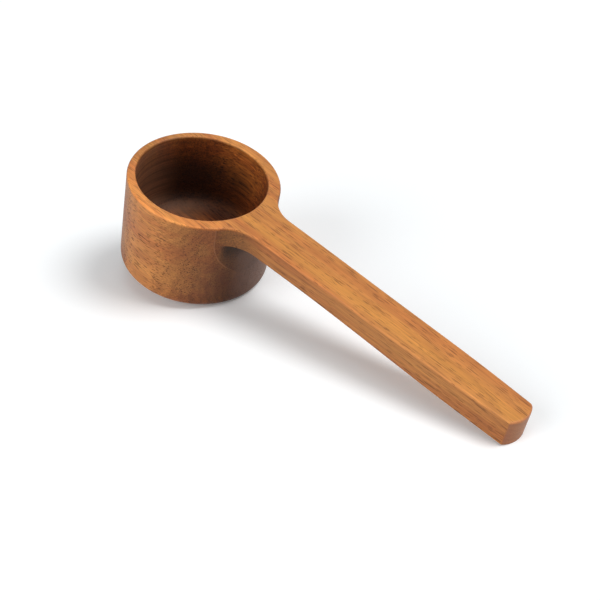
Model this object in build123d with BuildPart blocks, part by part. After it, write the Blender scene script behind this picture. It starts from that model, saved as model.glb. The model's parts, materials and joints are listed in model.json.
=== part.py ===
from build123d import *
import math
import os

# A measuring scoop carved from one block of oiled hardwood: a round straight-sided
# cup, and a long slim handle whose top is flush with the rim and runs out of it in
# two hollow flares. There is no joint in it, so it is one solid and one node.
#
# Lengths are in millimetres and angles in degrees. The scoop is built level, with
# the cup's axis on Z, the foot on the XY plane and the handle along +X. At the end
# it is laid down as it rests on a table, on the front of its foot and on its tip.

# Cup: its wall stands upright beside the handle and draws in a little to the foot
cup_radius = 26.1
cup_height = 35.5
foot_tuck = 0.1
foot_rounding = 3.0
rim_rounding = 0.8

# Inside of the cup: the wall's usual thickness, and how far the bore is set back from
# the handle, which makes the wall thickest there
wall_thickness = 3.7
bore_setback = 1.0
floor_thickness = 6.5
floor_corner_radius = 6.0
lip_rounding = 0.7

# Handle, with its reach measured from the cup's axis
handle_reach = 136.9
neck_width = 15.6
grip_width = 14.5
taper_width = 13.7
tip_width = 12.0
tip_crown = 2.1
tip_left_corner_radius = 2.0
tip_right_corner_radius = 0.9
tip_side_slope = 0.05
flare_radius = 12.7

# Thickness of the handle under its flat top, and the cove that blends its root into
# the wall below, which ends a little inside the wall
root_thickness = 7.4
waist_thickness = 7.2
grip_thickness = 8.15
tip_thickness = 9.8
tip_underside_slope = 0.05
root_cove_radius = 1.0
root_cove_inset = 0.15

# The hand-shaved patch on the wall below the handle: part of a slightly larger round,
# set back so that it reaches a little past each flare. It is upright to a depth below
# the rim, and then curves out of the wall at a height above the foot
shave_extra_radius = 2.0
shave_margin = 0.93
shave_upright_depth = 6.0
shave_run_out_height = 14.1

# Places along the handle, as shares of its reach
waist_share = 0.38
grip_share = 0.65
grip_side_share = 0.62
taper_side_share = 0.84

# How far a cutting or trimming shape runs past what it cuts
overrun = 5.0

# Places that follow from the sizes
rim_height = cup_height
root_underside = rim_height - root_thickness
cove_end = root_underside - root_cove_radius
upright_end = cove_end - root_cove_radius / 2
foot_radius = cup_radius - foot_tuck
bore_radius = cup_radius - wall_thickness
tip_corner_reach = handle_reach - tip_crown

# Each flare is an arc that touches the shaved wall and the side of the handle
shave_radius = cup_radius + shave_extra_radius
flare_centre_y = neck_width / 2 + flare_radius
flare_angle = math.asin(flare_centre_y / (shave_radius + flare_radius))
flare_root_y = shave_radius * math.sin(flare_angle)

# How deep the shaving goes follows from its width at the rim
shave_half_width = flare_root_y + shave_margin
cup_bulge = cup_radius - math.sqrt(cup_radius**2 - shave_half_width**2)
shave_bulge = shave_radius - math.sqrt(shave_radius**2 - shave_half_width**2)
shave_depth = cup_bulge - shave_bulge
shave_setback = shave_extra_radius + shave_depth
shave_x = shave_radius - shave_setback
flare_root_x = shave_radius * math.cos(flare_angle) - shave_setback
flare_centre_x = (shave_radius + flare_radius) * math.cos(flare_angle) - shave_setback
flare_middle_angle = (flare_angle + math.pi / 2) / 2
flare_middle_x = flare_centre_x - flare_radius * math.cos(flare_middle_angle)
flare_middle_y = flare_centre_y - flare_radius * math.sin(flare_middle_angle)

# Turned cup with a rounded foot
with BuildPart() as cup:
    with BuildSketch(Plane.XZ) as cup_section:
        with BuildLine():
            upright = Line((cup_radius, rim_height), (cup_radius, upright_end))
            TangentArc(upright @ 1, (foot_radius, 0), tangent=upright % 1)
            Polyline((foot_radius, 0), (0, 0), (0, rim_height), upright @ 0)
        make_face()
        foot_corner = cup_section.vertices().group_by(Axis.Y)[0].sort_by(Axis.X)[-1]
        fillet(foot_corner, foot_rounding)
    revolve(axis=Axis.Z)

# What the shaving takes off the wall under the handle
with BuildPart() as shaving:
    with BuildSketch(Plane.XZ):
        with BuildLine():
            outside_x = cup_radius + overrun
            straight = Line(
                (shave_x, rim_height + overrun),
                (shave_x, rim_height - shave_upright_depth),
            )
            run_out = TangentArc(
                straight @ 1, (cup_radius, shave_run_out_height), tangent=straight % 1
            )
            Polyline(
                run_out @ 1,
                (outside_x, shave_run_out_height),
                (outside_x, rim_height + overrun),
                straight @ 0,
            )
        make_face()
    revolve(axis=Axis((-shave_setback, 0, 0), (0, 0, 1)))

# Handle: its plan with the two flares, cut to its side profile, which is turned about
# the same line as the shaving, so that the cove follows the wall
with BuildPart() as handle:
    with BuildSketch(Plane.XY.offset(rim_height)) as handle_plan:
        with BuildLine():
            for side in (1, -1):
                Line((0, 0), (flare_root_x, side * flare_root_y))
                ThreePointArc(
                    (flare_root_x, side * flare_root_y),
                    (flare_middle_x, side * flare_middle_y),
                    (flare_centre_x, side * neck_width / 2),
                )
                Spline(
                    (flare_centre_x, side * neck_width / 2),
                    (grip_side_share * handle_reach, side * grip_width / 2),
                    (taper_side_share * handle_reach, side * taper_width / 2),
                    (tip_corner_reach, side * tip_width / 2),
                    tangents=[(1, 0), (1, -side * tip_side_slope)],
                )
            ThreePointArc(
                (tip_corner_reach, tip_width / 2),
                (handle_reach, 0),
                (tip_corner_reach, -tip_width / 2),
            )
        make_face()
        left_corner = (tip_corner_reach, tip_width / 2, rim_height)
        fillet(handle_plan.vertices().sort_by_distance(left_corner)[0], tip_left_corner_radius)
        right_corner = (tip_corner_reach, -tip_width / 2, rim_height)
        fillet(handle_plan.vertices().sort_by_distance(right_corner)[0], tip_right_corner_radius)
    extrude(amount=-(tip_thickness + overrun))
    with BuildSketch(Plane.XZ):
        with BuildLine():
            past_tip = handle_reach + overrun
            tip_underside = rim_height - tip_thickness
            past_tip_underside = tip_underside - tip_underside_slope * overrun
            cove_x = shave_x - root_cove_inset
            cove = RadiusArc(
                (cove_x, cove_end), (cove_x + root_cove_radius, root_underside), root_cove_radius
            )
            underside = Spline(
                cove @ 1,
                (waist_share * handle_reach, rim_height - waist_thickness),
                (grip_share * handle_reach, rim_height - grip_thickness),
                (handle_reach, tip_underside),
                tangents=[(1, 0), (1, -tip_underside_slope)],
            )
            Polyline(
                underside @ 1,
                (past_tip, past_tip_underside),
                (past_tip, rim_height),
                (-shave_setback, rim_height),
                (-shave_setback, cove_end),
                cove @ 0,
            )
        make_face()
    revolve(axis=Axis((-shave_setback, 0, 0), (0, 0, 1)), mode=Mode.INTERSECT)

# The whole scoop, still level
with BuildPart() as level_scoop:
    add(cup.part)
    add(shaving.part, mode=Mode.SUBTRACT)
    add(handle.part)
    with BuildSketch(Plane.XZ):
        with BuildLine():
            bore_side = bore_radius - bore_setback
            corner_height = floor_thickness + floor_corner_radius
            corner_x = bore_side - floor_corner_radius
            Polyline(
                (corner_x, floor_thickness),
                (-bore_setback, floor_thickness),
                (-bore_setback, rim_height + overrun),
                (bore_side, rim_height + overrun),
                (bore_side, corner_height),
            )
            RadiusArc((bore_side, corner_height), (corner_x, floor_thickness), floor_corner_radius)
        make_face()
    revolve(axis=Axis((-bore_setback, 0, 0), (0, 0, 1)), mode=Mode.SUBTRACT)
    flat_top = level_scoop.faces().filter_by(Plane.XY).sort_by(Axis.Z)[-1]
    fillet(flat_top.inner_wires()[0].edges(), lip_rounding)
    flat_top = level_scoop.faces().filter_by(Plane.XY).sort_by(Axis.Z)[-1]
    fillet(flat_top.outer_wire().edges(), rim_rounding)

# The scoop rests on the rounding of its foot and on the lower edge of its tip, so its
# tilt follows from the centre of that rounding and from that edge
wall_arc_radius = (upright_end**2 + foot_tuck**2) / (2 * foot_tuck)
foot_centre_x = (
    cup_radius
    - wall_arc_radius
    + math.sqrt((wall_arc_radius - foot_rounding) ** 2 - (upright_end - foot_rounding) ** 2)
)
tip_run = handle_reach - foot_centre_x
tip_rise = rim_height - tip_thickness - foot_rounding
resting_tilt = math.degrees(
    math.atan2(tip_rise, tip_run) + math.asin(foot_rounding / math.hypot(tip_run, tip_rise))
)

# Laid down, with the middle of its footprint at the origin and the table at z = 0
with BuildPart() as tilted_scoop:
    add(level_scoop.part, rotation=(0, resting_tilt, 0))
footprint = tilted_scoop.part.bounding_box()
with BuildPart() as scoop:
    with Locations((-footprint.center().X, -footprint.center().Y, -footprint.min.Z)):
        add(tilted_scoop.part)

os.makedirs("parts", exist_ok=True)
scoop.part.label = "scoop"
export_step(scoop.part, "parts/scoop.step")
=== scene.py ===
import json
import math
from types import SimpleNamespace

import bpy
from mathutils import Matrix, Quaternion, Vector

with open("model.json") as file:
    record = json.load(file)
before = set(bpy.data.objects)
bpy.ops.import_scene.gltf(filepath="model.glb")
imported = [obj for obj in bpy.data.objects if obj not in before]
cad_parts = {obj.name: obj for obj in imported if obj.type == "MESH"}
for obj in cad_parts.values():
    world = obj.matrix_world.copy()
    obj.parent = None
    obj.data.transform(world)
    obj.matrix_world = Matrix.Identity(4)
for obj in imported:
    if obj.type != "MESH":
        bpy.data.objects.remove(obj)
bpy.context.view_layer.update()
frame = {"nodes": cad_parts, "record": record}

# The frame is in metres. The lengths below are in mm, and the angles in degrees
MM = 0.001

# The scoop lies tilted. The material works in the level scoop's own directions, from the
# middle of its foot: x along the grain from the cup to the tip, and z up the cup's axis.
# The foot's mount says where that middle is and how far the scoop is tilted
SCOOP = frame["nodes"]["scoop"]
FOOT = frame["record"]["mounts"][0]
FOOT_MIDDLE = Vector(FOOT["pos_m"])
TILT = math.atan2(-FOOT["axis"][0], -FOOT["axis"][2])
GRAIN_AXIS = (math.cos(TILT), 0.0, -math.sin(TILT))
UP_AXIS = (math.sin(TILT), 0.0, math.cos(TILT))


class Nodes:
    """Short calls that add nodes to one node tree and join them up."""

    def __init__(self, tree):
        self.tree = tree

    def put(self, socket, value):
        if isinstance(value, bpy.types.NodeSocket):
            self.tree.links.new(value, socket)
        else:
            socket.default_value = value

    def add(self, kind, inputs=None, **settings):
        node = self.tree.nodes.new(kind)
        for name, value in settings.items():
            setattr(node, name, value)
        for name, value in (inputs or {}).items():
            self.put(node.inputs[name], value)
        return node

    def math(self, operation, *values):
        node = self.add("ShaderNodeMath", operation=operation)
        for socket, value in zip(node.inputs, values):
            self.put(socket, value)
        return node.outputs[0]

    def product(self, first, *others):
        for other in others:
            first = self.math("MULTIPLY", first, other)
        return first

    def length(self, first, second):
        squares = self.math("MULTIPLY_ADD", first, first, self.math("MULTIPLY", second, second))
        return self.math("SQRT", squares)

    def dot(self, first, second):
        node = self.add("ShaderNodeVectorMath", {0: first, 1: second}, operation="DOT_PRODUCT")
        return node.outputs["Value"]

    def sway(self, value, noise, width):
        """value, moved to either side by a noise, over about this width in all."""
        return self.math("MULTIPLY_ADD", self.math("SUBTRACT", noise, 0.5), width, value)

    def span(self, value, low, high, to_low=0.0, to_high=1.0, smooth=True):
        """value from low..high, eased to to_low..to_high."""
        inputs = {"Value": value, "From Min": low, "From Max": high}
        inputs.update({"To Min": to_low, "To Max": to_high})
        kind = "SMOOTHSTEP" if smooth else "LINEAR"
        node = self.add("ShaderNodeMapRange", inputs, interpolation_type=kind, clamp=True)
        return node.outputs["Result"]

    def between(self, share, none, full):
        """none where share is 0, full where it is 1, and evenly from one to the other."""
        return self.span(share, 0.0, 1.0, none, full, smooth=False)

    def mix(self, share, first, second, blend="MIX"):
        """Two colours. This node's sockets share their names, so they go by their places."""
        node = self.add("ShaderNodeMix", data_type="RGBA", blend_type=blend, clamp_factor=True)
        self.put(node.inputs[0], share)
        self.put(node.inputs[6], first)
        self.put(node.inputs[7], second)
        return node.outputs[2]

    def scaled(self, colour, factor):
        """colour, lighter or darker by a factor."""
        grey = self.add("ShaderNodeCombineColor", {"Red": factor, "Green": factor, "Blue": factor})
        return self.mix(1.0, colour, grey.outputs["Color"], "MULTIPLY")

    def shade(self, colour, share, factor):
        """colour, lighter or darker by a factor where share is 1."""
        return self.scaled(colour, self.between(share, 1.0, factor))

    def stretch(self, point, lengths, start):
        """point measured in cells of the given lengths."""
        node = self.add("ShaderNodeMapping", vector_type="POINT")
        self.put(node.inputs["Vector"], point)
        node.inputs["Scale"].default_value = [1 / length for length in lengths]
        node.inputs["Location"].default_value = start
        return node.outputs["Vector"]

    def noise(self, point, name):
        """One of the noises in the table NOISES, from 0 to 1."""
        lengths, detail, roughness, start = NOISES[name]
        inputs = {"Vector": self.stretch(point, lengths, start), "Scale": 1.0}
        inputs.update({"Detail": detail, "Roughness": roughness})
        return self.add("ShaderNodeTexNoise", inputs, noise_dimensions="3D").outputs["Fac"]

    def cells(self, point, lengths, start):
        inputs = {"Vector": self.stretch(point, lengths, start), "Scale": 1.0, "Randomness": 1.0}
        return self.add("ShaderNodeTexVoronoi", inputs).outputs


def empty_nodes(owner):
    """The emptied node tree of a material or a world."""
    owner.use_nodes = True
    owner.node_tree.nodes.clear()
    return Nodes(owner.node_tree)


def linear(red, green, blue):
    """A colour as picked from a screen, 0 to 255, in the renderer's linear values."""
    def one(value):
        share = value / 255
        return share / 12.92 if share <= 0.04045 else ((share + 0.055) / 1.055) ** 2.4
    return (one(red), one(green), one(blue), 1.0)


# The scoop's sizes that the material follows, as the CAD has them
CUP_RADIUS = 26.1
BORE_RADIUS = 22.4
BORE_SETBACK = 1.0
FLOOR_THICKNESS = 6.5
RIM_HEIGHT = 35.5
PATCH_RADIUS = 28.1
PATCH_SETBACK = 2.406
PATCH_TOP = 29.5
PATCH_END = 14.1
PATCH_DEPTH = 0.406

# Colours of the wood
GOLDEN = linear(212, 146, 70)
TAN = linear(204, 136, 70)
RED = linear(190, 116, 60)
DARK = linear(120, 68, 38)
HEARTWOOD = linear(92, 54, 38)
PORE = linear(76, 38, 22)

# Colours of single places: the end of the tip, a painted highlight for the line along the
# patch's edge, a painted sheen for the wall under the handle, and a painted sheen for the lit part
# of the cup's inside
TIP_END = linear(168, 116, 88)
PATCH_LINE_HIGHLIGHT = linear(196, 134, 88)
WALL_SHEEN = linear(176, 140, 118)
INSIDE_SHEEN = linear(118, 84, 62)

# How much of each of red, green and blue is kept inside the cup under its painted shade, and on
# end grain under the oil
INSIDE_SHADE_TINT = (0.66, 0.48, 0.30, 1.0)
END_GRAIN_TINT = (0.98, 0.90, 0.90, 1.0)

# Noises: their cells' lengths along x, y and z, their detail and roughness, and where
# their cells start
NOISES = {
    "sway": ((80.0, 18.0, 18.0), 2.0, 0.5, (0.0, 0.0, 0.0)),
    "ripple": ((30.0, 5.0, 5.0), 2.0, 0.5, (3.0, 7.0, 1.0)),
    "broad": ((160.0, 6.5, 6.5), 2.0, 0.5, (0.0, 4.0, 0.0)),
    "streak": ((45.0, 1.6, 1.6), 3.0, 0.6, (11.0, 2.0, 5.0)),
    "vein": ((22.0, 0.42, 0.42), 1.0, 0.5, (1.0, 3.0, 7.0)),
    "fibre": ((14.0, 0.36, 0.36), 3.0, 0.7, (2.0, 9.0, 4.0)),
    "mottle": ((9.0, 4.0, 4.0), 3.0, 0.6, (7.0, 1.0, 3.0)),
    "gather": ((34.0, 6.0, 6.0), 2.0, 0.5, (1.0, 5.0, 9.0)),
    "rings": ((45.0, 45.0, 0.7), 2.0, 0.6, (6.0, 2.0, 0.0)),
    "facets": ((2.6, 2.6, 30.0), 1.0, 0.5, (4.0, 4.0, 0.0)),
}

# Areas of the surface. Each is the product of its ramps, and a ramp gives what it goes
# by, its value where the area is nil, and its value where the area is full. A ramp goes
# by a place in mm, or by how far the surface faces along the grain, or up, from 0 to 1
AREAS = {
    "end_grain": (("along", 0.12, 0.72),),
    "cup_end": (("x", 100.0, 50.0),),
    "tip_end": (("x", 120.0, 134.0),),
    # painted highlight on the rounded edges round the top
    "highlit_top_edges": (
        ("up", 0.2, 0.55),
        ("up", 0.99, 0.86),
        ("z", RIM_HEIGHT - 1.0, RIM_HEIGHT - 0.7),
    ),
    # painted highlight on the top of the rim at -Y
    "highlit_side_of_rim": (
        ("y", -3.0, -13.0),
        ("z", RIM_HEIGHT - 1.5, RIM_HEIGHT - 0.3),
        ("x", 27.0, 21.0),
        ("x", -23.0, -15.0),
    ),
    # painted shade on the rim's end away from the handle
    "shaded_end_of_rim": (("x", -19.0, -25.0), ("z", RIM_HEIGHT - 1.5, RIM_HEIGHT - 0.3)),
    # painted shade on the handle's sides
    "shaded_handle_sides": (("z", RIM_HEIGHT - 0.6, RIM_HEIGHT - 1.1), ("from_axis", 27.0, 29.5)),
    # painted shade where the handle's side flares into the cup
    "root": (("x", 38.0, 27.0),),
    "wall_with_patch": (
        ("from_axis", CUP_RADIUS - 2.2, CUP_RADIUS - 1.6),
        ("z", RIM_HEIGHT - 0.3, RIM_HEIGHT - 1.0),
        ("from_axis", CUP_RADIUS + 2.6, CUP_RADIUS + 1.2),
    ),
    # painted highlight along the shaved patch's edge
    "patch_line_highlight": (("z", 15.5, 20.0),),
    # painted shade on the wall right under the flare, where the handle shades it
    "shade_under_flare": (("z", 18.0, 26.5), ("z", 28.4, 27.8), ("y", -13.8, -11.0)),
    # painted sheen on the lower wall under the handle
    "sheen_on_wall": (
        ("y", -10.0, -3.0),
        ("z", 26.0, 21.0),
        ("from_axis", CUP_RADIUS - 2.2, CUP_RADIUS - 1.6),
        ("x", 10.0, 20.0),
    ),
    "inside": (
        ("from_bore", BORE_RADIUS + 0.5, BORE_RADIUS + 0.1),
        ("z", RIM_HEIGHT - 0.5, RIM_HEIGHT - 1.2),
    ),
    "floor": (("z", FLOOR_THICKNESS + 3.0, FLOOR_THICKNESS + 1.0),),
    # painted light on the floor inside the cup, on the side away from the handle
    "lit_floor": (("x", -2.0, -14.0),),
    # painted sheen on the floor inside the cup, on the side away from the handle
    "sheen_on_floor": (("x", -6.0, -16.0),),
    # painted shade lower down inside the cup, on the side at +Y and -X
    "shaded_depths": (("y_less_x", 12.0, 28.0), ("z", 32.0, 20.0)),
}

# Growth layers are rounds about a heart line, which runs low in the block and slants a
# little. Late wood is the dark part of a layer, given as shares of its thickness. The
# heart's dark wood reaches a way out from its line, and shows at the cup's end only
HEART_Y = 5.0
HEART_Z = 8.0
HEART_SLANT = -0.16
LAYER_SWAY = 12.0
LAYER_RIPPLE = 2.4
LAYER_THICKNESS = 2.3
LATE_WOOD_STARTS = (0.2, 0.85)
LATE_WOOD_STOPS = (1.0, 0.9)
HEART_REACH = (27.0, 11.0)
HEART_ALONG = (60.0, 26.0)

# How much late wood shows at the foot and further up, and how much the heart does
LATE_WOOD_UP = (3.0, 9.0)
LATE_WOOD_SHARES = (0.45, 0.18)
HEART_SHARE = 0.7

# A golden stripe along the middle of the top
STRIPE_Y = -2.6
STRIPE_SWAY = 9.0
STRIPE_FADE = (3.6, 0.6)
STRIPE_UP = (20.0, 30.0)
STRIPE_SHARE = 0.7

# Which values of a noise turn the wood redder, darker or more golden, and by what share.
# Veins have one share on the sides and another on the top
RED_STREAKS = (0.38, 0.62)
DARK_STREAKS = (0.52, 0.80)
DARK_STREAK_SHARE = 0.3
GOLDEN_STREAKS = (0.46, 0.28)
GOLDEN_STREAK_SHARE = 0.35
VEINS = (0.58, 0.68)
VEINS_UP = (30.0, 34.0)
VEIN_SHARES = (0.45, 0.3)

# Fibres: the factors of the darkest and of the lightest, along the grain and on the end
# grain of the cup. Mottling: its factors
FIBRES = (0.28, 0.72)
DARKEST_FIBRE = (0.80, 0.60)
LIGHTEST_FIBRE = (1.16, 1.36)
MOTTLING = (0.3, 0.7)
MOTTLING_FACTORS = (0.95, 1.05)

# Pores, in three sizes: their cells' lengths, where the cells start, and the reach of the
# largest pore as a share of its cell. A cell's chance says how large and dark its pore is
PORES = (
    ((9.0, 0.60, 0.60), (0.0, 0.0, 0.0), 0.37),
    ((4.0, 0.40, 0.40), (5.3, 2.1, 8.7), 0.40),
    ((10.0, 0.80, 0.80), (2.4, 6.3, 1.9), 0.26),
)
SIZE_CHANCES = (0.3, 0.8)
DARKNESS_CHANCES = (0.3, 0.9)
SMALLEST_PORE = 0.02
FAINTEST_PORE = 0.4
PORE_FADE = (1.0, 0.6)

# Where pores are fainter: between their groups, towards the top and on the tip's end
PORE_GROUPS = (0.36, 0.56)
PORES_BETWEEN_GROUPS = 0.65
PORES_UP = (24.0, 33.0)
PORES_AT_TOP = 0.6
PORES_TO_TIP_END = (0.2, 0.8)
PORES_AT_TIP_END = 0.2
PORE_SHARE = 0.95

# The edge of the shaved patch: about the sine of its angle from the handle's line, which
# turns a difference in cosine into a length, and how the patch and the painted highlight along its
# line fade there
PATCH_EDGE_SINE = 0.6
PATCH_FADE = (0.0, 0.25)
PATCH_LINE_HIGHLIGHT_FADE = (0.30, 0.05)

# Shares by which the colours of single places are mixed in
TIP_END_SHARE = 0.5
PATCH_LINE_HIGHLIGHT_SHARE = 0.6
WALL_SHEEN_SHARE = 0.42
INSIDE_SHEEN_SHARE = 0.75
FLOOR_SHEEN_SHARE = 0.65

# Factors by which areas are lighter or darker: the shaved patch by its own tone and by painted
# shade under the handle, the others by painted shade and painted highlights, and the lit side
# inside the cup by painted light
PATCH_TONE_AND_SHADE_FACTOR = 0.8
SHADE_UNDER_FLARE_FACTOR = 0.22
HANDLE_SIDE_SHADE_FACTOR = 0.86
ROOT_SHADE_FACTOR = 0.66
TOP_EDGE_HIGHLIGHT_FACTOR = 1.22
SIDE_OF_RIM_HIGHLIGHT_FACTOR = 1.3
END_OF_RIM_SHADE_FACTOR = 0.8
DEPTH_SHADE_FACTOR = 0.35
PAINTED_LIGHT_FACTOR = 2.0

# End grain is darker on the cup than on the tip
END_GRAIN_ALONG = (40.0, 120.0)
END_GRAIN_FACTORS = (0.53, 0.92)

# Inside the cup: where the side away from the handle gets painted light, the factors of its
# lightest and darkest grain, and how strong the turning tool's rings are outside the painted
# light and in it
LIT_SIDE_SLANT = 0.9
LIT_SIDE_RANGE = (-10.0, -27.0)
INSIDE_GRAIN = (0.75, 1.25)
INSIDE_GRAIN_FACTORS = (1.4, 0.6)
RING_NOISE = (0.25, 0.75)
RINGS_ON_LIT_SIDE = (0.0, 0.6)
RING_STRENGTHS = (0.12, 0.5)

# Bumps: the depth of a pore, and how high the other marks are against it
BUMP_DEPTH = 0.08
BUMP_STRENGTH = 0.5
FIBRE_HEIGHT = 0.5
RING_HEIGHT = 0.3
FACET_HEIGHT = 5.0

# Gloss: an oiled surface, which is rougher in its pores and inside the cup
FIBRE_ROUGHNESS_NOISE = (0.2, 0.8)
FIBRE_ROUGHNESS = (0.38, 0.54)
PORE_ROUGHNESS = 0.2
INSIDE_ROUGHNESS = 0.22
WOOD_IOR = 1.45
WOOD_SPECULAR = 0.32


def find_places(n):
    """Where a point of the scoop is, which way it faces, and the noises used for more than
    one thing there."""
    place = n.add("ShaderNodeTexCoord").outputs["Object"]
    level = n.add("ShaderNodeMapping", {"Vector": place}, vector_type="TEXTURE")
    level.inputs["Location"].default_value = FOOT_MIDDLE
    level.inputs["Rotation"].default_value = (0.0, TILT, 0.0)
    level.inputs["Scale"].default_value = (MM, MM, MM)
    point = level.outputs["Vector"]
    parts = n.add("ShaderNodeSeparateXYZ", {"Vector": point}).outputs
    at = SimpleNamespace(point=point, x=parts["X"], y=parts["Y"], z=parts["Z"])
    at.y_less_x = n.math("SUBTRACT", at.y, at.x)
    at.from_axis = n.length(at.x, at.y)
    at.from_bore = n.length(n.math("ADD", at.x, BORE_SETBACK), at.y)
    facing = n.add("ShaderNodeNewGeometry").outputs["Normal"]
    at.along = n.math("ABSOLUTE", n.dot(facing, GRAIN_AXIS))
    at.up = n.dot(facing, UP_AXIS)
    at.sway = n.noise(point, "sway")
    at.streak = n.noise(point, "streak")
    at.vein = n.noise(point, "vein")
    at.fibre = n.noise(point, "fibre")
    return at


def area(n, at, name):
    """How much a point belongs to one of the areas in the table AREAS, from 0 to 1."""
    ramps = [n.span(getattr(at, measure), nil, full) for measure, nil, full in AREAS[name]]
    return n.product(*ramps)


def growth_layers(n, at):
    """The dark late wood of each growth layer, and the dark heart."""
    across = n.math("SUBTRACT", at.y, n.math("MULTIPLY_ADD", at.x, HEART_SLANT, HEART_Y))
    above = n.math("SUBTRACT", at.z, HEART_Z)
    radius = n.sway(n.length(across, above), at.sway, LAYER_SWAY)
    radius = n.sway(radius, n.noise(at.point, "ripple"), LAYER_RIPPLE)
    layer = n.math("FRACT", n.math("DIVIDE", radius, LAYER_THICKNESS))
    late_wood = n.product(n.span(layer, *LATE_WOOD_STARTS), n.span(layer, *LATE_WOOD_STOPS))
    heart = n.product(n.span(radius, *HEART_REACH), n.span(at.x, *HEART_ALONG))
    return late_wood, heart


def pore_marks(n, at):
    """Open pores: short dark dashes along the grain, which are dots on end grain."""
    pores = None
    for lengths, start, reach in PORES:
        cell = n.cells(at.point, lengths, start)
        chance = n.add("ShaderNodeSeparateColor", {"Color": cell["Color"]}).outputs["Red"]
        size = n.span(chance, *SIZE_CHANCES, SMALLEST_PORE, reach, smooth=False)
        mark = n.span(n.math("DIVIDE", cell["Distance"], size), *PORE_FADE)
        mark = n.product(mark, n.span(chance, *DARKNESS_CHANCES, FAINTEST_PORE, 1.0))
        pores = mark if pores is None else n.math("MAXIMUM", pores, mark)
    gather = n.noise(at.point, "gather")
    in_groups = n.span(gather, *PORE_GROUPS, PORES_BETWEEN_GROUPS, 1.0)
    return n.product(pores, in_groups, n.span(at.z, *PORES_UP, 1.0, PORES_AT_TOP))


def shaved_patch(n, at):
    """The shaved patch under the handle, and a painted highlight along the thin line of its edge.

    The patch is part of a round that is set back from the cup's axis. Its edge is where
    that round meets the wall. Below the patch's top the round grows, until it leaves the
    wall altogether at the patch's end.
    """
    below = n.math("MAXIMUM", n.math("SUBTRACT", PATCH_TOP, at.z), 0.0)
    share = n.math("DIVIDE", below, PATCH_TOP - PATCH_END)
    radius = n.math("MULTIPLY_ADD", n.product(share, share), PATCH_DEPTH, PATCH_RADIUS)
    excess = n.math("SUBTRACT", n.product(radius, radius), CUP_RADIUS**2 + PATCH_SETBACK**2)
    edge_cosine = n.math("DIVIDE", excess, 2 * PATCH_SETBACK * CUP_RADIUS)
    cosine = n.math("DIVIDE", at.x, at.from_axis)
    past_edge = n.math("SUBTRACT", cosine, edge_cosine)
    past_edge = n.product(past_edge, CUP_RADIUS / PATCH_EDGE_SINE)
    wall = area(n, at, "wall_with_patch")
    patch = n.product(n.span(past_edge, *PATCH_FADE), wall)
    # The line is a painted highlight along the patch's edge
    line = n.span(n.math("ABSOLUTE", past_edge), *PATCH_LINE_HIGHLIGHT_FADE)
    return patch, n.product(line, wall, area(n, at, "patch_line_highlight"))


def plain_wood(n, at):
    """The wood's colour without its pores: layers, streaks, veins and fibres."""
    late_wood, heart = growth_layers(n, at)
    colour = n.mix(n.span(n.noise(at.point, "broad"), *RED_STREAKS), TAN, RED)
    stripe = n.sway(n.math("SUBTRACT", at.y, STRIPE_Y), at.sway, STRIPE_SWAY)
    stripe = n.span(n.math("ABSOLUTE", stripe), *STRIPE_FADE)
    stripe = n.product(stripe, n.span(at.z, *STRIPE_UP, 0.0, STRIPE_SHARE))
    colour = n.mix(stripe, colour, GOLDEN)
    late_wood = n.product(late_wood, n.span(at.z, *LATE_WOOD_UP, *LATE_WOOD_SHARES))
    colour = n.mix(late_wood, colour, DARK)
    colour = n.mix(n.span(at.streak, *DARK_STREAKS, 0.0, DARK_STREAK_SHARE), colour, DARK)
    golden = n.span(at.streak, *GOLDEN_STREAKS, 0.0, GOLDEN_STREAK_SHARE)
    colour = n.mix(golden, colour, GOLDEN)
    vein_share = n.span(at.z, *VEINS_UP, *VEIN_SHARES)
    colour = n.mix(n.span(at.vein, *VEINS, 0.0, vein_share), colour, DARK)
    colour = n.mix(n.product(heart, HEART_SHARE), colour, HEARTWOOD)
    cup_end = n.product(at.end_grain, area(n, at, "cup_end"))
    darkest = n.between(cup_end, *DARKEST_FIBRE)
    lightest = n.between(cup_end, *LIGHTEST_FIBRE)
    colour = n.scaled(colour, n.span(at.fibre, *FIBRES, darkest, lightest, smooth=False))
    mottle = n.span(n.noise(at.point, "mottle"), *MOTTLING, *MOTTLING_FACTORS, smooth=False)
    return n.scaled(colour, mottle)


def patch_and_handle(n, at, colour, patch, line):
    """The shaved patch is darker, by its own tone and by painted shade under the handle, with
    the deepest painted shade right under the flare, and the line along its edge has a
    painted highlight. The handle's sides have painted shade, most of all at the root. The
    wall under the handle has a painted sheen, and the edges round the top a painted highlight."""
    # The shaved patch is darker, partly by its own tone and partly by painted shade under the
    # handle
    colour = n.shade(colour, patch, PATCH_TONE_AND_SHADE_FACTOR)
    # Painted shade on the wall right under the flare
    shade_under_flare = n.product(patch, area(n, at, "shade_under_flare"))
    colour = n.shade(colour, shade_under_flare, SHADE_UNDER_FLARE_FACTOR)
    # Painted highlight along the patch's edge
    colour = n.mix(n.product(line, PATCH_LINE_HIGHLIGHT_SHARE), colour, PATCH_LINE_HIGHLIGHT)
    # Painted shade on the handle's sides, deepest where they flare into the cup
    sides = area(n, at, "shaded_handle_sides")
    colour = n.shade(colour, sides, HANDLE_SIDE_SHADE_FACTOR)
    colour = n.shade(colour, n.product(sides, area(n, at, "root")), ROOT_SHADE_FACTOR)
    # Painted sheen on the wall under the handle
    colour = n.mix(n.product(area(n, at, "sheen_on_wall"), WALL_SHEEN_SHARE), colour, WALL_SHEEN)
    # Painted highlight on the rounded edges round the top
    return n.shade(colour, area(n, at, "highlit_top_edges"), TOP_EDGE_HIGHLIGHT_FACTOR)


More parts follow.
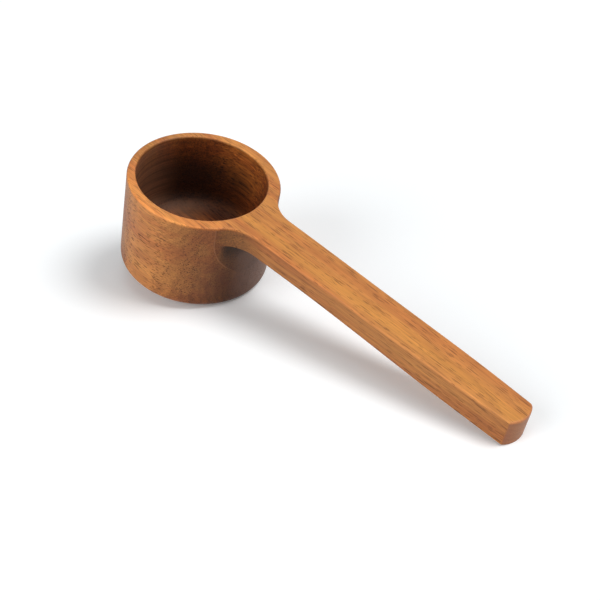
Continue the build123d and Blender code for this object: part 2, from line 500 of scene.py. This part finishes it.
def end_grain_and_rim(n, at, colour):
    """End grain is darker and redder. The top of the rim has a painted highlight on the side
    at -Y, and painted shade at the end away from the handle."""
    end_grain_factor = n.span(at.x, *END_GRAIN_ALONG, *END_GRAIN_FACTORS)
    colour = n.shade(colour, at.end_grain, end_grain_factor)
    colour = n.mix(at.end_grain, colour, END_GRAIN_TINT, "MULTIPLY")
    # Painted highlight on the rim at -Y, and painted shade at its end away from the handle
    colour = n.shade(colour, area(n, at, "highlit_side_of_rim"), SIDE_OF_RIM_HIGHLIGHT_FACTOR)
    return n.shade(colour, area(n, at, "shaded_end_of_rim"), END_OF_RIM_SHADE_FACTOR)


def inside_of_cup(n, at, colour):
    """The colour inside the cup: painted shade all over, deeper lower down on the side at +Y
    and -X, and painted light with a painted sheen on the side away from the handle and on
    the floor there, and the turning tool's rings, which go up the wall and across the floor."""
    floor = area(n, at, "floor")
    ring_place = n.math("MULTIPLY_ADD", floor, n.math("SUBTRACT", at.from_bore, at.z), at.z)
    ring_point = n.add("ShaderNodeCombineXYZ", {"X": at.x, "Y": at.y, "Z": ring_place})
    rings = n.noise(ring_point.outputs["Vector"], "rings")
    rings = n.span(rings, *RING_NOISE, -1.0, 1.0, smooth=False)
    # Painted shade inside the cup, darker and redder
    colour = n.mix(1.0, colour, INSIDE_SHADE_TINT, "MULTIPLY")
    # Deeper painted shade lower down inside the cup
    colour = n.shade(colour, area(n, at, "shaded_depths"), DEPTH_SHADE_FACTOR)
    grain = n.math("ADD", at.streak, at.vein)
    colour = n.scaled(colour, n.span(grain, *INSIDE_GRAIN, *INSIDE_GRAIN_FACTORS, smooth=False))
    # Painted light on the inside wall and floor on the side away from the handle
    lit_side = n.span(n.math("MULTIPLY_ADD", at.y, LIT_SIDE_SLANT, at.x), *LIT_SIDE_RANGE)
    lit_floor = n.product(area(n, at, "lit_floor"), floor)
    colour = n.shade(colour, n.math("MAXIMUM", lit_side, lit_floor), PAINTED_LIGHT_FACTOR)
    # Painted sheen over the painted light on the inside wall and floor
    lit_wall = n.product(lit_side, n.math("SUBTRACT", 1.0, floor))
    sheen_on_floor = n.product(floor, area(n, at, "sheen_on_floor"), FLOOR_SHEEN_SHARE)
    sheen = n.math("MAXIMUM", lit_wall, sheen_on_floor)
    colour = n.mix(n.product(sheen, INSIDE_SHEEN_SHARE), colour, INSIDE_SHEEN)
    strength = n.span(lit_side, *RINGS_ON_LIT_SIDE, *RING_STRENGTHS, smooth=False)
    return n.scaled(colour, n.math("MULTIPLY_ADD", rings, strength, 1.0)), rings


def wood_material():
    material = bpy.data.materials.new("oiled_wood")
    n = empty_nodes(material)
    at = find_places(n)
    at.end_grain = area(n, at, "end_grain")
    colour = plain_wood(n, at)

    tip_end = n.product(at.end_grain, area(n, at, "tip_end"))
    pores = n.product(pore_marks(n, at), n.span(tip_end, *PORES_TO_TIP_END, 1.0, PORES_AT_TIP_END))
    colour = n.mix(n.product(pores, PORE_SHARE), colour, PORE)
    colour = n.mix(n.product(tip_end, TIP_END_SHARE), colour, TIP_END)

    patch, line = shaved_patch(n, at)
    colour = patch_and_handle(n, at, colour, patch, line)
    colour = end_grain_and_rim(n, at, colour)
    inside = area(n, at, "inside")
    inside_colour, rings = inside_of_cup(n, at, colour)
    colour = n.mix(inside, colour, inside_colour)

    # Marks of the tools: fine rings in the cup, and upright facets on the shaved patch
    rings = n.product(rings, inside, RING_HEIGHT)
    marks = n.sway(rings, n.noise(at.point, "facets"), n.product(patch, FACET_HEIGHT))
    height = n.math("SUBTRACT", n.product(at.fibre, FIBRE_HEIGHT), pores)
    height = n.math("ADD", height, marks)
    depth = BUMP_DEPTH * MM
    bump_inputs = {"Strength": BUMP_STRENGTH, "Distance": depth, "Height": height}
    bump = n.add("ShaderNodeBump", bump_inputs)

    rough = n.span(at.fibre, *FIBRE_ROUGHNESS_NOISE, *FIBRE_ROUGHNESS, smooth=False)
    rough = n.math("MULTIPLY_ADD", pores, PORE_ROUGHNESS, rough)
    rough = n.math("MULTIPLY_ADD", inside, INSIDE_ROUGHNESS, rough)

    inputs = {"Base Color": colour, "Roughness": rough, "Normal": bump.outputs["Normal"]}
    shader = n.add("ShaderNodeBsdfPrincipled", inputs)
    shader.inputs["IOR"].default_value = WOOD_IOR
    shader.inputs["Specular IOR Level"].default_value = WOOD_SPECULAR
    n.add("ShaderNodeOutputMaterial", {"Surface": shader.outputs["BSDF"]})
    return material


# The floor: half its width in metres, how far it lies below the scoop in mm, its colour
# to bounced light and to the eye, and the light it gives to the eye
FLOOR_HALF_WIDTH = 3.0
FLOOR_GAP = 0.02
FLOOR_BOUNCED = (0.85, 0.85, 0.85, 1.0)
FLOOR_SEEN = (0.93, 0.957, 0.972, 1.0)
FLOOR_GLOW = 0.09
WHITE = (1.0, 1.0, 1.0, 1.0)

# Light from all around, and soft lamps far away: azimuth, elevation, strength and width
SURROUNDING_LIGHT = 0.14
LAMPS = {
    "key": (120.0, 57.0, 1.75, 28.0),
    "overhead": (100.0, 80.0, 0.65, 50.0),
    "side_fill": (-10.0, 28.0, 1.45, 45.0),
}

# The photograph's view: the place it looks at, the side it looks from, how far away it
# is, how it is rolled, its lens and sensor, and the range it sees in metres
CAMERA_AIM = (2.885, -10.724, 20.0)
CAMERA_AZIMUTH = 42.772
CAMERA_ELEVATION = 34.488
CAMERA_DISTANCE = 412.917
CAMERA_ROLL = -0.513
CAMERA_LENS = 78.0
CAMERA_SENSOR = 36.0
CAMERA_NEAREST = 0.01
CAMERA_FARTHEST = 20.0


def direction(azimuth, elevation):
    """The way towards a lamp or the camera. Azimuth 0 is along -Y, and 90 along +X."""
    a, e = math.radians(azimuth), math.radians(elevation)
    return Vector((math.sin(a) * math.cos(e), -math.cos(a) * math.cos(e), math.sin(e)))


def seen_share(n):
    """1 for what the camera sees, by itself, in a gloss or through a clear part, and 0 for
    light that is bounced."""
    rays = n.add("ShaderNodeLightPath").outputs
    passed_on = n.math("MAXIMUM", rays["Is Glossy Ray"], rays["Is Transmission Ray"])
    return n.math("MAXIMUM", rays["Is Camera Ray"], passed_on)


def white_floor():
    """A pale floor that shows white where it is lit, and keeps the scoop's soft shadow."""
    half = FLOOR_HALF_WIDTH
    under = -FLOOR_GAP * MM
    corners = [(-half, -half, under), (half, -half, under)]
    corners += [(half, half, under), (-half, half, under)]
    mesh = bpy.data.meshes.new("floor")
    mesh.from_pydata(corners, [], [(0, 1, 2, 3)])
    floor = bpy.data.objects.new("floor", mesh)
    bpy.context.scene.collection.objects.link(floor)
    material = bpy.data.materials.new("pale_floor")
    n = empty_nodes(material)
    bounced = n.add("ShaderNodeBsdfDiffuse", {"Color": FLOOR_BOUNCED})
    lit = n.add("ShaderNodeBsdfDiffuse", {"Color": FLOOR_SEEN})
    glow = n.add("ShaderNodeEmission", {"Color": WHITE, "Strength": FLOOR_GLOW})
    shown = n.add("ShaderNodeAddShader", {0: lit.outputs[0], 1: glow.outputs[0]})
    shaders = {0: seen_share(n), 1: bounced.outputs[0], 2: shown.outputs[0]}
    both = n.add("ShaderNodeMixShader", shaders)
    n.add("ShaderNodeOutputMaterial", {"Surface": both.outputs[0]})
    mesh.materials.append(material)


def studio_world():
    """White to the eye, and a weak even light on the scoop."""
    world = bpy.data.worlds.new("studio")
    bpy.context.scene.world = world
    n = empty_nodes(world)
    strength = n.between(seen_share(n), SURROUNDING_LIGHT, 1.0)
    background = n.add("ShaderNodeBackground", {"Color": WHITE, "Strength": strength})
    n.add("ShaderNodeOutputWorld", {"Surface": background.outputs["Background"]})


def soft_sun(name, azimuth, elevation, strength, width):
    lamp = bpy.data.lights.new(name, "SUN")
    lamp.energy = strength
    lamp.angle = math.radians(width)
    holder = bpy.data.objects.new(name, lamp)
    holder.rotation_mode = "QUATERNION"
    holder.rotation_quaternion = direction(azimuth, elevation).to_track_quat("Z", "Y")
    bpy.context.scene.collection.objects.link(holder)


def photo_camera():
    camera_data = bpy.data.cameras.new("camera")
    camera_data.sensor_width = CAMERA_SENSOR
    camera_data.lens = CAMERA_LENS
    camera_data.clip_start = CAMERA_NEAREST
    camera_data.clip_end = CAMERA_FARTHEST
    camera = bpy.data.objects.new("camera", camera_data)
    back = direction(CAMERA_AZIMUTH, CAMERA_ELEVATION)
    camera.location = Vector(CAMERA_AIM) * MM + back * (CAMERA_DISTANCE * MM)
    camera.rotation_mode = "QUATERNION"
    roll = Quaternion(back, math.radians(CAMERA_ROLL))
    camera.rotation_quaternion = roll @ (-back).to_track_quat("-Z", "Y")
    bpy.context.scene.collection.objects.link(camera)
    bpy.context.scene.camera = camera


SCOOP.data.materials.clear()
SCOOP.data.materials.append(wood_material())

bpy.context.scene.view_settings.view_transform = "Standard"
white_floor()
studio_world()
for lamp_name, settings in LAMPS.items():
    soft_sun(lamp_name, *settings)
photo_camera()
